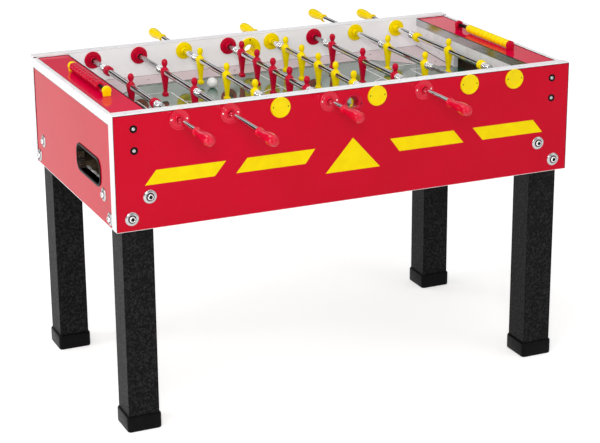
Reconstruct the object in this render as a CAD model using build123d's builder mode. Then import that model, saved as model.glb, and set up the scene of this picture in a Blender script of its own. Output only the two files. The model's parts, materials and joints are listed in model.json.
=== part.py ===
"""Foosball table with telescopic rods, millimetres.

+Z is up, X runs along the playfield, Y along the rods, and the red handles are at -Y.
The origin is on the floor, under the middle of the table.
"""

import math
import os

from build123d import *

os.makedirs("parts", exist_ok=True)

# Cabinet
cabinet_length = 1430.0
cabinet_width = 800.0
cabinet_top = 940.0
cabinet_height = 331.0
panel_thickness = 20.0
wall_thickness = 36.0
end_drop = 7.0
shelf_thickness = 20.0
goal_wall_thickness = 15.0
goal_width = 210.0
goal_height = 56.0
bottom_board_thickness = 8.0
bottom_board_lift = 8.0
facing_thickness = 1.5
facing_height = 24.0

# White edgings
edging_thickness = 2.0
top_strip_height = 3.0
end_strip_width = 36.0
end_angle_drop = 28.0
end_angle_reach = 14.0
edging_joint = 0.4

# Playfield
end_box_length = 112.0
field_thickness = 12.0
batten_size = 24.0
batten_joint = 0.4
ramp_width = 44.0
ramp_height = 17.0
corner_ramp_leg = 254.0
corner_ramp_height = 17.0

# Legs
leg_side = 92.0
leg_rise = 150.0
leg_edge_radius = 3.0
boot_height = 48.0
boot_wall = 5.0
boot_floor = 6.0
boot_edge_radius = 8.0
boot_fit = 0.2

# Leg bolts, in pairs on each face of a corner: distance from the corner and height over the cabinet's bottom
long_face_bolts = [(100.0, 92.0), (46.0, 35.0)]
end_face_bolts = [(106.0, 81.0), (57.0, 24.0)]
bolt_neck = 8.0
bolt_neck_fit = 0.2
bolt_grip = 45.0
bolt_head_radius = 9.0
bolt_crown_radius = 6.0
bolt_head_height = 4.5
washer_radius = 19.5
washer_height = 3.5
washer_flat = 2.0

# Rods
goalkeeper_offset = 78.0
rod_drop = 31.0
tube_radius = 8.8
tube_bore_radius = 6.8
running_clearance = 0.05
inner_rod_reach = 200.0
retainer_radius = 11.0
retainer_length = 11.4
end_play = 0.3
rod_hole_radius = 13.1
sleeve_clearance = 0.1
sleeve_setback = 0.3

# Rod bearings
flange_radius = 29.5
flange_thickness = 4.0
flange_hub_radius = 17.0
bearing_length = 16.0
disc_radius = 27.0
disc_thickness = 4.0
disc_hub_radius = 14.0
disc_hub_length = 18.0
disc_clearance = 0.5
cover_thickness = 6.0

# Bumper springs
spring_wire = 2.4
spring_turns = 3
spring_length = 36.0
spring_clearance = 0.5
stop_gap = 0.5

# Players
head_rise = 39.5
foot_drop = 76.5
foot_clearance = 8.0
figure_half_width = 13.8
chest_half_depth = 11.0
chest_half_height = 10.5
figure_corner = 0.6
figure_fit = 0.05
stop_radius = 15.0
stop_length = 22.0
stop_offset = 210.0
stop_bevel = 2.5

# Handles
handle_length = 128.0
handle_grip_depth = 70.0
handle_sides = 16
# Distance from the mouth and radius: flared collar, waist, bulb and rounded end
handle_outline = [
    (0.0, 12.2),
    (3.0, 13.2),
    (8.0, 12.6),
    (16.0, 10.6),
    (34.0, 11.6),
    (66.0, 14.8),
    (94.0, 16.2),
    (112.0, 15.4),
    (123.0, 12.2),
    (handle_length, 6.5),
]

# Ball, ball cups and ball return
ball_diameter = 33.0
field_ball_rod = 2
field_ball_offset = 27.0
field_ball_across = 191.0
balls_in_window = [-121.0, -71.0, -20.0]
ball_lift = 0.05
cup_drop = 17.5
cup_radius = 31.0
cup_flange_thickness = 4.0
cup_bore_radius = 19.0
cup_wall = 3.0
cup_collar_radius = 37.0
cup_collar_thickness = 4.0
cup_collar_bevel = 2.0
return_slope = 2.0
return_left_height = 52.0
return_board_thickness = 6.0
return_front = -268.0
return_back = 118.0
return_rail_thickness = 10.0
return_rail_rise = 30.0
return_guide_length = 200.0
return_guide_front = 6.0

# Ball window in the left end
window_front = -268.0
window_back = -61.0
window_low = 98.0
window_high = 168.0
window_radius = 25.0
window_fit = 0.3
window_sleeve = 3.0
window_lip = 7.0
window_lip_thickness = 3.0

# Score counters
counter_offset = 64.0
counter_half_span = 156.5
counter_height = 15.5
counter_shaft_radius = 5.0
bracket_thickness = 12.0
bracket_radius = 13.5
bracket_foot = 11.0
bead_count = 10
bead_width = 25.5
bead_gap = 0.2
bead_radius = 13.2
bead_clearance = 0.4

# Places worked out from the sizes above
half_length = cabinet_length / 2
half_width = cabinet_width / 2
panel_end = half_length - edging_thickness
end_inner = panel_end - panel_thickness
panel_inner = half_width - panel_thickness
wall_inner = half_width - wall_thickness
wall_top = cabinet_top - top_strip_height
shelf_top = cabinet_top - end_drop
shelf_bottom = shelf_top - shelf_thickness
cabinet_bottom = cabinet_top - cabinet_height
field_length = cabinet_length - 2 * end_box_length
half_field = field_length / 2
goal_wall_back = half_field + goal_wall_thickness
rod_height = cabinet_top - rod_drop
field_top = rod_height - foot_drop - foot_clearance
field_bottom = field_top - field_thickness
bottom_board_low = cabinet_bottom + bottom_board_lift
bottom_board_top = bottom_board_low + bottom_board_thickness
cup_height = rod_height - cup_drop
ball_radius = ball_diameter / 2
inner_rod_radius = tube_bore_radius - running_clearance
bearing_bore_radius = tube_radius + running_clearance
sleeve_radius = rod_hole_radius - sleeve_clearance
hub_face = wall_inner - disc_hub_length
leg_x = end_inner - leg_side / 2
leg_y = panel_inner - leg_side / 2

# Rods from left to right: name, colour, players' places along the rod, handle's distance from the wall
rods = [
    ("red_goalkeeper", "red", [0.0], 118.0),
    ("red_defence", "red", [-126.0, 126.0], 190.0),
    ("yellow_attack", "yellow", [-220.0, 0.0, 220.0], 142.0),
    ("red_midfield", "red", [-248.0, -124.0, 0.0, 124.0, 248.0], 82.0),
    ("yellow_midfield", "yellow", [-248.0, -124.0, 0.0, 124.0, 248.0], 82.0),
    ("red_attack", "red", [-220.0, 0.0, 220.0], 142.0),
    ("yellow_defence", "yellow", [-126.0, 126.0], 190.0),
    ("yellow_goalkeeper", "yellow", [0.0], 118.0),
]
rod_pitch = (field_length - 2 * goalkeeper_offset) / (len(rods) - 1)
corners = [(sx, sy) for sx in (-1, 1) for sy in (-1, 1)]


def rod_x(index):
    """Place of a rod along the table."""
    return (index - (len(rods) - 1) / 2) * rod_pitch


def handle_side(colour):
    """-1 where the handle is at the front, +1 where it is at the back."""
    return -1 if colour == "red" else 1


def rod_plane(index):
    """Plane across a rod at the middle of the table, its normal towards the blind wall and its y up."""
    blind = -handle_side(rods[index][1])
    return Plane(origin=(rod_x(index), 0, rod_height), x_dir=(-blind, 0, 0), z_dir=(0, blind, 0))


def wall_plane(x, height, outward):
    """Plane across a hole of a long wall, its normal pointing out of the table."""
    return Plane(origin=(x, 0, height), x_dir=(-outward, 0, 0), z_dir=(0, outward, 0))


def profile_plane(axis_plane):
    """Plane holding a turned piece's half profile: x is the radius and y runs along the axis."""
    return Plane(origin=axis_plane.origin, x_dir=axis_plane.x_dir, z_dir=-axis_plane.y_dir)


def turned(axis_plane, points):
    """A turned piece from (radius, place along the axis) points, added to the part being built."""
    with BuildSketch(profile_plane(axis_plane)) as profile:
        with BuildLine():
            Polyline(*points, close=True)
        make_face()
    revolve(profile.sketch, axis=Axis(axis_plane.origin, axis_plane.z_dir))


def block(low, high):
    """A box between two corners, added to the part being built."""
    size = [h - l for l, h in zip(low, high)]
    with Locations(tuple((l + h) / 2 for l, h in zip(low, high))):
        Box(*size)


def stacked(outlines):
    """A solid with flat faces between outlines of equally many points, added to the part being built."""
    faces = [Face(Wire.make_polygon(outline)) for outline in (outlines[0], outlines[-1])]
    for low, high in zip(outlines, outlines[1:]):
        for i in range(len(low)):
            faces.append(Face(Wire.make_polygon([low[i - 1], low[i], high[i], high[i - 1]])))
    add(Solid(Shell(faces)))


def save(solids, name):
    """Label a finished piece and write it."""
    solids.label = name
    export_step(solids, f"parts/{name}.step")


def bolt_places(bolts):
    """Corner signs and the two distances of each bolt of a face."""
    return [(sx, sy, inset, lift) for sx, sy in corners for inset, lift in bolts]


def bolt_planes():
    """Plane of each leg bolt on the cabinet's face, its normal pointing out, and its panel."""
    planes = []
    for sx, sy, inset, lift in bolt_places(long_face_bolts):
        spot = (sx * (half_length - inset), sy * half_width, cabinet_bottom + lift)
        planes.append(("front" if sy < 0 else "back", Plane(origin=spot, x_dir=(1, 0, 0), z_dir=(0, sy, 0))))
    for sx, sy, inset, lift in bolt_places(end_face_bolts):
        spot = (sx * panel_end, sy * (half_width - inset), cabinet_bottom + lift)
        planes.append(("left" if sx < 0 else "right", Plane(origin=spot, x_dir=(0, 1, 0), z_dir=(sx, 0, 0))))
    return planes


def cut_bolt_holes(face, depth):
    """Square holes for the bolts' necks through the panel of one face."""
    for name, plane in bolt_planes():
        if name == face:
            with BuildSketch(plane) as hole:
                Rectangle(bolt_neck + 2 * bolt_neck_fit, bolt_neck + 2 * bolt_neck_fit)
            extrude(hole.sketch, amount=-depth, mode=Mode.SUBTRACT)


# Long panels: a red board, thicker over the playfield, with the rod holes and the ball hole
for name, side in (("front", -1), ("back", 1)):
    with BuildPart() as panel:
        outer = side * half_width
        block(
            (-panel_end, min(outer, side * panel_inner), cabinet_bottom),
            (panel_end, max(outer, side * panel_inner), wall_top),
        )
        block(
            (-half_field, min(outer, side * wall_inner), field_top),
            (half_field, max(outer, side * wall_inner), wall_top),
        )
        with BuildSketch(Plane(origin=(0, outer, rod_height), x_dir=(1, 0, 0), z_dir=(0, -1, 0))):
            with Locations([(rod_x(i), 0) for i in range(len(rods))]):
                Circle(rod_hole_radius)
            with Locations((0, -cup_drop)):
                Circle(cup_bore_radius + cup_wall + sleeve_clearance)
        extrude(amount=side * wall_thickness, mode=Mode.SUBTRACT)
        cut_bolt_holes(name, panel_thickness)
    save(panel.part, f"{name}_panel")

# End panels: red boards between the long panels, the left one with the ball window
window_width = window_back - window_front
window_height = window_high - window_low
window_plane = Plane(
    origin=(-panel_end, (window_front + window_back) / 2, cabinet_bottom + (window_low + window_high) / 2),
    x_dir=(0, -1, 0),
    z_dir=(-1, 0, 0),
)
for name, side in (("left", -1), ("right", 1)):
    with BuildPart() as end_panel:
        block(
            (min(side * end_inner, side * panel_end), -panel_inner, cabinet_bottom),
            (max(side * end_inner, side * panel_end), panel_inner, shelf_bottom),
        )
        if name == "left":
            with BuildSketch(window_plane):
                RectangleRounded(window_width, window_height, window_radius)
            extrude(amount=-panel_thickness, mode=Mode.SUBTRACT)
        cut_bolt_holes(name, panel_thickness)
    save(end_panel.part, f"{name}_end_panel")

# Black frame of the ball window: a lip on the panel's face and a sleeve through it
with BuildPart() as window_frame:
    with BuildSketch(window_plane):
        RectangleRounded(
            window_width + 2 * window_lip,
            window_height + 2 * window_lip,
            window_radius + window_lip,
        )
    extrude(amount=window_lip_thickness)
    with BuildSketch(window_plane):
        RectangleRounded(
            window_width - 2 * window_fit, window_height - 2 * window_fit, window_radius - window_fit
        )
    extrude(amount=-panel_thickness)
    inset = window_fit + window_sleeve
    with BuildSketch(window_plane.offset(window_lip_thickness)):
        RectangleRounded(window_width - 2 * inset, window_height - 2 * inset, window_radius - inset)
    extrude(amount=-(panel_thickness + window_lip_thickness), mode=Mode.SUBTRACT)
save(window_frame.part, "ball_window_frame")

# Goal walls: inner end walls that stand on the playfield, with the goal mouths
with BuildPart() as goal_walls:
    for side in (-1, 1):
        with BuildSketch(Plane(origin=(side * half_field, 0, field_top), x_dir=(0, 1, 0), z_dir=(1, 0, 0))):
            Rectangle(2 * panel_inner, shelf_bottom - field_top, align=(Align.CENTER, Align.MIN))
            Rectangle(goal_width, goal_height, align=(Align.CENTER, Align.MIN), mode=Mode.SUBTRACT)
        extrude(amount=side * goal_wall_thickness)
save(goal_walls.part, "goal_walls")

# End shelves: red boards over the goal walls and the end panels
with BuildPart() as end_shelves:
    for side in (-1, 1):
        block(
            (min(side * half_field, side * panel_end), -panel_inner, shelf_bottom),
            (max(side * half_field, side * panel_end), panel_inner, shelf_top),
        )
save(end_shelves.part, "end_shelves")

# Metal facings on the inner edges of the shelves
with BuildPart() as shelf_facings:
    for side in (-1, 1):
        facing_inner = side * (half_field - facing_thickness)
        block(
            (min(facing_inner, side * half_field), -wall_inner, shelf_top - facing_height),
            (max(facing_inner, side * half_field), wall_inner, shelf_top),
        )
save(shelf_facings.part, "shelf_facings")

# White edgings: top strips, upright end strips and angle strips along the end tops
with BuildPart() as edgings:
    for side in (-1, 1):
        block(
            (-half_length, min(side * wall_inner, side * half_width), wall_top),
            (half_length, max(side * wall_inner, side * half_width), cabinet_top),
        )
    for sx, sy in corners:
        strip_inner = half_width - end_strip_width
        block(
            (min(sx * panel_end, sx * half_length), min(sy * strip_inner, sy * half_width), cabinet_bottom),
            (
                max(sx * panel_end, sx * half_length),
                max(sy * strip_inner, sy * half_width),
                wall_top - edging_joint,
            ),
        )
    for side in (-1, 1):
        angle_outer = side * half_length
        angle_face = side * panel_end
        angle_back = side * (half_length - end_angle_reach)
        angle_top = shelf_top + edging_thickness
        angle_half = half_width - end_strip_width - edging_joint
        with BuildSketch(Plane.XZ.offset(-angle_half)):
            with BuildLine():
                Polyline(
                    (angle_outer, angle_top - end_angle_drop),
                    (angle_outer, angle_top),
                    (angle_back, angle_top),
                    (angle_back, shelf_top),
                    (angle_face, shelf_top),
                    (angle_face, angle_top - end_angle_drop),
                    close=True,
                )
            make_face()
        extrude(amount=2 * angle_half)
save(edgings.part, "white_edgings")

# Playfield board, clamped between the thick part of the walls and its battens
with BuildPart() as playfield:
    block((-goal_wall_back, -panel_inner, field_bottom), (goal_wall_back, panel_inner, field_top))
save(playfield.part, "playfield")

with BuildPart() as battens:
    for side in (-1, 1):
        batten_inner = side * (panel_inner - batten_size)
        block(
            (-end_inner, min(batten_inner, side * panel_inner), field_bottom - batten_size),
            (end_inner, max(batten_inner, side * panel_inner), field_bottom),
        )
        cross_back = side * (goal_wall_back - batten_size)
        cross_half = panel_inner - batten_size - batten_joint
        block(
            (min(cross_back, side * goal_wall_back), -cross_half, field_bottom - batten_size),
            (max(cross_back, side * goal_wall_back), cross_half, field_bottom),
        )
save(battens.part, "playfield_battens")

# Side ramps: a sloped strip along each wall with a raised triangle in each corner
with BuildPart() as side_ramps:
    for side in (-1, 1):
        with BuildSketch(Plane(origin=(-half_field, 0, field_top), x_dir=(0, 1, 0), z_dir=(1, 0, 0))):
            with BuildLine():
                Polyline(
                    (side * wall_inner, 0),
                    (side * wall_inner, ramp_height),
                    (side * (wall_inner - ramp_width), 0),
                    close=True,
                )
            make_face()
        extrude(amount=field_length)
    for sx, sy in corners:
        corner = Vector(sx * half_field, sy * wall_inner, field_top)
        along_wall = corner - Vector(sx * corner_ramp_leg, 0, 0)
        along_end = corner - Vector(0, sy * corner_ramp_leg, 0)
        peak = corner + Vector(0, 0, corner_ramp_height)
        with BuildSketch(Plane.XY.offset(field_top), mode=Mode.PRIVATE) as triangle:
            with BuildLine():
                Polyline(
                    (corner.X, corner.Y),
                    (along_wall.X, along_wall.Y),
                    (along_end.X, along_end.Y),
                    close=True,
                )
            make_face()
        loft([triangle.sketch.face(), Vertex(peak)])
save(side_ramps.part, "side_ramps")

# Bottom board, notched round the legs
with BuildPart() as bottom_board:
    block((-end_inner, -panel_inner, bottom_board_low), (end_inner, panel_inner, bottom_board_top))
    with Locations([(sx * leg_x, sy * leg_y, bottom_board_low) for sx, sy in corners]):
        Box(
            leg_side + 2 * boot_fit,
            leg_side + 2 * boot_fit,
            3 * bottom_board_thickness,
            mode=Mode.SUBTRACT,
        )
save(bottom_board.part, "bottom_board")

# Ball return: a ramp under the playfield that falls to the left, its rails, and a guide to the window
return_left = cabinet_bottom + return_left_height
return_fall = 2 * end_inner * math.tan(math.radians(return_slope))


def return_height(x):
    """Top of the ramp board at a place along the table."""
    return return_left + (x + end_inner) / (2 * end_inner) * return_fall


def return_strip(plane, width, low_left, low_right, rise):
    """A sloped piece of the ball return, as high over the ramp as rise, added to the part being built."""
    with BuildSketch(plane) as profile:
        with BuildLine():
            Polyline(
                (-end_inner, low_left),
                (end_inner, low_right),
                (end_inner, return_height(end_inner) + rise),
                (-end_inner, return_height(-end_inner) + rise),
                close=True,
            )
        make_face()
    extrude(profile.sketch, amount=width)


with BuildPart() as ball_return:
    return_strip(
        Plane.XZ.offset(-return_back),
        return_back - return_front,
        return_height(-end_inner) - return_board_thickness,
        return_height(end_inner) - return_board_thickness,
        0,
    )
    for rail_back in (return_front, return_back + return_rail_thickness):
        return_strip(
            Plane.XZ.offset(-rail_back),
            return_rail_thickness,
            bottom_board_top,
            bottom_board_top,
            return_rail_rise,
        )
    slope = math.radians(return_slope)
    ramp_plane = Plane(
        origin=(-end_inner, 0, return_left),
        x_dir=(math.cos(slope), 0, math.sin(slope)),
        z_dir=(-math.sin(slope), 0, math.cos(slope)),
    )
    guide_start = return_rail_rise * math.tan(slope)
    with BuildSketch(ramp_plane):
        with BuildLine():
            Polyline(
                (guide_start, return_guide_front),
                (return_guide_length, return_back),
                (guide_start, return_back),
                close=True,
            )
        make_face()
    extrude(amount=return_rail_rise)
save(ball_return.part, "ball_return")

# Balls: three lying in the window and one on the field
with BuildPart() as balls:
    window_ball_x = -end_inner + ball_radius + ball_lift
    ball_over_slope = ball_radius / math.cos(math.radians(return_slope))
    window_ball_z = return_height(window_ball_x) + ball_over_slope + ball_lift
    with Locations([(window_ball_x, y, window_ball_z) for y in balls_in_window]):
        Sphere(ball_radius)
    field_ball_x = rod_x(field_ball_rod) + field_ball_offset
    with Locations((field_ball_x, field_ball_across, field_top + ball_radius + ball_lift)):
        Sphere(ball_radius)
save(balls.part, "balls")

# Legs with square blind holes for the bolts, and boots
with BuildPart() as legs:
    with Locations([(sx * leg_x, sy * leg_y, boot_floor) for sx, sy in corners]):
        Box(
            leg_side,
            leg_side,
            cabinet_bottom + leg_rise - boot_floor,
            align=(Align.CENTER, Align.CENTER, Align.MIN),
        )
    fillet(legs.edges().filter_by(Axis.Z), leg_edge_radius)
    for _, plane in bolt_planes():
        with BuildSketch(plane.offset(-panel_thickness)):
            Rectangle(bolt_neck + 2 * bolt_neck_fit, bolt_neck + 2 * bolt_neck_fit)
        extrude(amount=-bolt_grip, mode=Mode.SUBTRACT)
save(legs.part, "legs")

with BuildPart() as boots:
    boot_side = leg_side + 2 * boot_fit + 2 * boot_wall
    spots = [(sx * leg_x, sy * leg_y) for sx, sy in corners]
    with BuildSketch():
        with Locations(spots):
            RectangleRounded(boot_side, boot_side, boot_edge_radius)
    extrude(amount=boot_height)
    with BuildSketch(Plane.XY.offset(boot_floor)):
        with Locations(spots):
            RectangleRounded(leg_side + 2 * boot_fit, leg_side + 2 * boot_fit, leg_edge_radius)
    extrude(amount=boot_height, mode=Mode.SUBTRACT)
save(boots.part, "leg_boots")

# Leg bolts with a square neck, and the cup washers under their heads
with BuildPart() as leg_bolts:
    for _, plane in bolt_planes():
        with BuildSketch(plane.offset(washer_height)):
            Circle(bolt_head_radius)
        with BuildSketch(plane.offset(washer_height + bolt_head_height)):
            Circle(bolt_crown_radius)
        loft()
        with BuildSketch(plane.offset(washer_height)):
            Rectangle(bolt_neck, bolt_neck)
        extrude(amount=-(washer_height + panel_thickness + bolt_grip - bolt_neck_fit))
save(leg_bolts.part, "leg_bolts")

with BuildPart() as cup_washers:
    for _, plane in bolt_planes():
        with BuildSketch(plane):
            Circle(washer_radius)
        with BuildSketch(plane.offset(washer_height)):
            Circle(bolt_head_radius + washer_flat)
        loft()
        with BuildSketch(plane):
            Rectangle(bolt_neck + 2 * bolt_neck_fit, bolt_neck + 2 * bolt_neck_fit)
        extrude(amount=washer_height, mode=Mode.SUBTRACT)
save(cup_washers.part, "cup_washers")

# Rod fittings of each colour: bearings on the handle side, discs inside both walls, covers on the blind side
for colour in ("red", "yellow"):
    with BuildPart() as fittings:
        for index, rod in enumerate(rods):
            if rod[1] != colour:
                continue
            plane = rod_plane(index)
            turned(
                plane,
                [
                    (bearing_bore_radius, -wall_inner - sleeve_setback),
                    (sleeve_radius, -wall_inner - sleeve_setback),
                    (sleeve_radius, -half_width),
                    (flange_radius, -half_width),
                    (flange_radius, -half_width - flange_thickness),
                    (flange_hub_radius, -half_width - flange_thickness),
                    (sleeve_radius, -half_width - bearing_length),
                    (bearing_bore_radius, -half_width - bearing_length),
                ],
            )
            tube_side_bore = tube_radius + disc_clearance
            turned(
                plane,
                [
                    (tube_side_bore, -wall_inner),
                    (disc_radius, -wall_inner),
                    (disc_radius, -wall_inner + disc_thickness),
                    (disc_hub_radius, -wall_inner + disc_thickness),
                    (sleeve_radius, -hub_face),
                    (tube_side_bore, -hub_face),
                ],
            )
            turned(
                plane,
                [
                    (tube_bore_radius, hub_face),
                    (sleeve_radius, hub_face),
                    (disc_hub_radius, wall_inner - disc_thickness),
                    (disc_radius, wall_inner - disc_thickness),
                    (disc_radius, wall_inner),
                    (sleeve_radius, wall_inner),
                    (sleeve_radius, half_width - retainer_length - 2 * end_play),
                    (tube_bore_radius, half_width - retainer_length - 2 * end_play),
                ],
            )
            turned(
                plane,
                [
                    (0, half_width),
                    (flange_radius, half_width),
                    (flange_radius, half_width + cover_thickness),
                    (0, half_width + cover_thickness),
                ],
            )
    save(fittings.part, f"{colour}_rod_fittings")

# Ball cups: a flanged sleeve through the middle of each long wall, and a collar round it on the inside
for colour in ("red", "yellow"):
    with BuildPart() as ball_cup:
        cup_plane = wall_plane(0, cup_height, handle_side(colour))
        turned(
            cup_plane,
            [
                (cup_bore_radius, wall_inner - cup_collar_thickness),
                (cup_bore_radius + cup_wall, wall_inner - cup_collar_thickness),
                (cup_bore_radius + cup_wall, half_width),
                (cup_radius, half_width),
                (cup_radius, half_width + cup_flange_thickness / 2),
                (cup_bore_radius + cup_wall, half_width + cup_flange_thickness),
                (cup_bore_radius, half_width + cup_flange_thickness),
            ],
        )
        collar_bore = cup_bore_radius + cup_wall + sleeve_clearance
        turned(
            cup_plane,
            [
                (collar_bore, wall_inner),
                (cup_collar_radius, wall_inner),
                (cup_collar_radius, wall_inner - cup_collar_thickness + cup_collar_bevel),
                (cup_collar_radius - cup_collar_bevel, wall_inner - cup_collar_thickness),
                (collar_bore, wall_inner - cup_collar_thickness),
            ],
        )
    save(ball_cup.part, f"{colour}_ball_cup")

# Bumper springs: square wire wound on the tube, in tangent arcs of a quarter turn
spring_radius = tube_radius + spring_clearance + spring_wire / math.sqrt(2)
spring_rise = spring_length - math.sqrt(2) * spring_wire
spring_pitch = spring_rise / spring_turns


def spring_point(turn):
    """Point of the wire's middle line in the spring's own frame, wound about z."""
    angle = 2 * math.pi * turn
    height = spring_wire / math.sqrt(2) + spring_pitch * turn
    return Vector(spring_radius * math.cos(angle), spring_radius * math.sin(angle), height)


def spring_heading(turn):
    """Direction of the wire at a point of the winding."""
    angle = 2 * math.pi * turn
    sideways = 2 * math.pi * spring_radius
    return Vector(-sideways * math.sin(angle), sideways * math.cos(angle), spring_pitch).normalized()


def biarc_joint(start, start_heading, end, end_heading):
    """Point where two arcs meet that join two points along their headings."""
    gap = end - start
    a = 2 * (1 - start_heading.dot(end_heading))
    b = 2 * gap.dot(start_heading + end_heading)
    reach = (math.sqrt(b * b + 4 * a * gap.dot(gap)) - b) / (2 * a)
    return (start + start_heading * reach + end - end_heading * reach) * 0.5


def spring_gap():
    """Least space between neighbouring curls, measured on points of the winding."""
    steps = 48
    points = [spring_point(i / steps) for i in range(spring_turns * steps + 1)]
    least = min(
        (points[i] - points[j]).length
        for i in range(len(points))
        for j in range(i + steps // 2, len(points))
    )
    return least - math.sqrt(2) * spring_wire


def arrival_heading(start, heading, end):
    """Direction in which an arc that leaves start along heading comes to end."""
    chord = (end - start).normalized()
    return chord * (2 * heading.dot(chord)) - heading


with BuildPart() as bumper_spring:
    with BuildLine() as wire:
        Line(spring_point(0) - spring_heading(0) * spring_wire, spring_point(0))
        for half in range(2 * spring_turns):
            start, end = spring_point(half / 2), spring_point((half + 1) / 2)
            leaving, arriving = spring_heading(half / 2), spring_heading((half + 1) / 2)
            joint = biarc_joint(start, leaving, end, arriving)
            TangentArc(start, joint, tangent=leaving)
            TangentArc(joint, end, tangent=arrival_heading(start, leaving, joint))
        wire_end = spring_point(spring_turns)
        Line(wire_end, wire_end + spring_heading(spring_turns) * spring_wire)
    with BuildSketch(Plane(origin=wire.line @ 0, z_dir=wire.line % 0)) as section:
        Rectangle(spring_wire, spring_wire)
    sweep(section.sketch, path=wire.line)

print(f"least gap between spring curls {spring_gap():.2f} mm")


def figure_sections():
    """Heights over the rod, half depths and half widths of a player, from the sole to the crown."""
    return [
        (-foot_drop, 8.6, 9.8),
        (-foot_drop + 10.0, 9.0, 10.6),
        (-foot_drop + 15.0, 5.4, 6.8),
        (-36.0, 7.2, 10.4),
        (-chest_half_height, chest_half_depth, figure_half_width),
        (chest_half_height, chest_half_depth, figure_half_width),
        (head_rise - 27.0, 6.0, 9.0),
        (head_rise - 22.5, 5.2, 5.6),
        (head_rise - 13.0, 8.8, 8.6),
        (head_rise - 5.0, 7.8, 7.8),
        (head_rise, 4.0, 4.0),
    ]


def figure(x, y):
    """One player on its rod, added to the part being built."""
    outlines = []
    for height, depth, breadth in figure_sections():
        cut = figure_corner * min(depth, breadth)
        quarter = [(depth, breadth - cut), (depth - cut, breadth)]
        rim = quarter + [(-u, v) for u, v in reversed(quarter)]
        rim += [(-u, -v) for u, v in rim]
        outlines.append([Vector(x + u, y + v, rod_height + height) for u, v in rim])
    stacked(outlines)


for index, (name, colour, players, handle_gap) in enumerate(rods):
    plane = rod_plane(index)
    goalkeeper = len(players) == 1
    carrier_end = stop_offset + stop_length / 2 if goalkeeper else max(players) + figure_half_width
    spring_base = carrier_end + end_play
    spring_end = spring_base + spring_length
    handle_start = half_width + handle_gap
    travel = hub_face - spring_end - stop_gap
    print(f"{name}: travel {travel:.1f} mm each way, handle clears the bearing by "
          f"{handle_gap - bearing_length - travel:.1f} mm")

    # Sliding tube with its two springs
    with BuildPart() as tube:
        with BuildSketch(plane.offset(-(handle_start + handle_grip_depth))):
            Circle(tube_radius)
            Circle(tube_bore_radius, mode=Mode.SUBTRACT)
        extrude(amount=handle_start + handle_grip_depth + spring_end - spring_wire)
    spring_planes = [
        plane.offset(spring_base),
        Plane(origin=plane.origin - plane.z_dir * spring_base, x_dir=plane.x_dir, z_dir=-plane.z_dir),
    ]
    springs = [bumper_spring.part.solid().moved(place.location) for place in spring_planes]
    save(Part([tube.part.solid(), *springs]), f"{name}_rod")

    # Inner rod, kept in the blind wall by its head
    with BuildPart() as inner_rod:
        head_back = half_width - end_play
        turned(
            plane,
            [
                (0, -inner_rod_reach),
                (inner_rod_radius, -inner_rod_reach),
                (inner_rod_radius, head_back - retainer_length),
                (retainer_radius, head_back - retainer_length),
                (retainer_radius, head_back),
                (0, head_back),
            ],
        )
    save(inner_rod.part, f"{name}_inner_rod")

    # Players, and the goalkeeper's stop collars
    with BuildPart() as team:
        for place in players:
            figure(rod_x(index), place)
        if goalkeeper:
            for side in (-1, 1):
                low, high = side * stop_offset - stop_length / 2, side * stop_offset + stop_length / 2
                turned(
                    plane,
                    [
                        (tube_radius, low),
                        (stop_radius - stop_bevel, low),
                        (stop_radius, low + stop_bevel),
                        (stop_radius, high - stop_bevel),
                        (stop_radius - stop_bevel, high),
                        (tube_radius, high),
                    ],
                )
        with BuildSketch(plane.offset(-half_width)):
            Circle(tube_radius + figure_fit)
        extrude(amount=2 * half_width, mode=Mode.SUBTRACT)
    save(team.part, f"{name}_players")

    # Handle: a bulb that narrows to a waist before its rounded end
    with BuildPart() as handle:
        turns = [2 * math.pi * i / handle_sides for i in range(handle_sides)]
        stacked([
            [
                plane.from_local_coords((radius * math.cos(t), radius * math.sin(t), -handle_start - place))
                for t in turns
            ]
            for place, radius in handle_outline
        ])
        with BuildSketch(plane.offset(-handle_start - handle_grip_depth - end_play)):
            Circle(tube_radius + figure_fit)
        extrude(amount=handle_grip_depth + end_play, mode=Mode.SUBTRACT)
    save(handle.part, f"{name}_handle")

# Score counters on the end shelves: red beads between yellow brackets at the left, the other way at the right
counter_z = shelf_top + counter_height
for side, bracket_colour, bead_colour in ((-1, "yellow", "red"), (1, "red", "yellow")):
    counter_x = side * (half_length - counter_offset)
    across = Plane(origin=(counter_x, 0, counter_z), x_dir=(1, 0, 0), z_dir=(0, -1, 0))

    with BuildPart() as brackets:
        for bracket_side in (-1, 1):
            outer = bracket_side * (counter_half_span + bracket_thickness)
            with BuildSketch(across.offset(outer)):
                Circle(bracket_radius)
                Rectangle(2 * bracket_foot, counter_height, align=(Align.CENTER, Align.MAX))
                Circle(counter_shaft_radius + figure_fit, mode=Mode.SUBTRACT)
            extrude(amount=-bracket_side * bracket_thickness)
    save(brackets.part, f"{bracket_colour}_counter_brackets")

    with BuildPart() as beads:
        for number in range(bead_count):
            start = counter_half_span - end_play - bead_width - number * (bead_width + bead_gap)
            turned(
                across,
                [
                    (counter_shaft_radius + bead_clearance, side * start),
                    (bead_radius, side * start),
                    (bead_radius, side * (start + bead_width)),
                    (counter_shaft_radius + bead_clearance, side * (start + bead_width)),
                ],
            )
    save(beads.part, f"{bead_colour}_score_beads")

with BuildPart() as shafts:
    for side in (-1, 1):
        counter_x = side * (half_length - counter_offset)
        with BuildSketch(Plane(
            origin=(counter_x, -counter_half_span - bracket_thickness, counter_z),
            x_dir=(1, 0, 0),
            z_dir=(0, 1, 0),
        )):
            Circle(counter_shaft_radius)
        extrude(amount=2 * (counter_half_span + bracket_thickness))
save(shafts.part, "counter_shafts")
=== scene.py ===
import json
import math

import bmesh
import bpy
from mathutils import Matrix, Vector


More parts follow.
